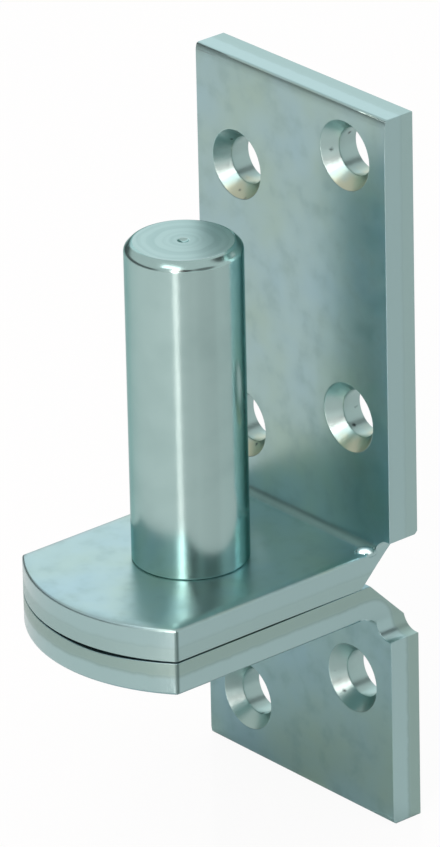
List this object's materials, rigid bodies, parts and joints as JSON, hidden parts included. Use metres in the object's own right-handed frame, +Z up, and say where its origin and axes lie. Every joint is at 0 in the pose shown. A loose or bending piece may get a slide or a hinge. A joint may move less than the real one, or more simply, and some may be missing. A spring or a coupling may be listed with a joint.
{
  "type": "gate hinge pin",
  "caption": "Upright hinge pin on a rounded shelf of bent plates with staggered countersunk screw holes, screwed to a post to carry a gate strap.",
  "frame": {"origin": "on the pin's axis at the top face of the shelf", "axes": "+Z up along the pin, +Y towards the post that the plates are screwed to, X across the plates"},
  "size_m": [0.038, 0.0458, 0.1035],
  "materials": {
    "plated_sheet": "bright zinc plated rolled sheet",
    "plated_pin": "bright zinc plated turned bar"
  },
  "bodies": {
    "root": {"upper_angle_plate": "plated_sheet", "lower_angle_plate": "plated_sheet", "hinge_pin": "plated_pin"}
  },
  "joints": []
}
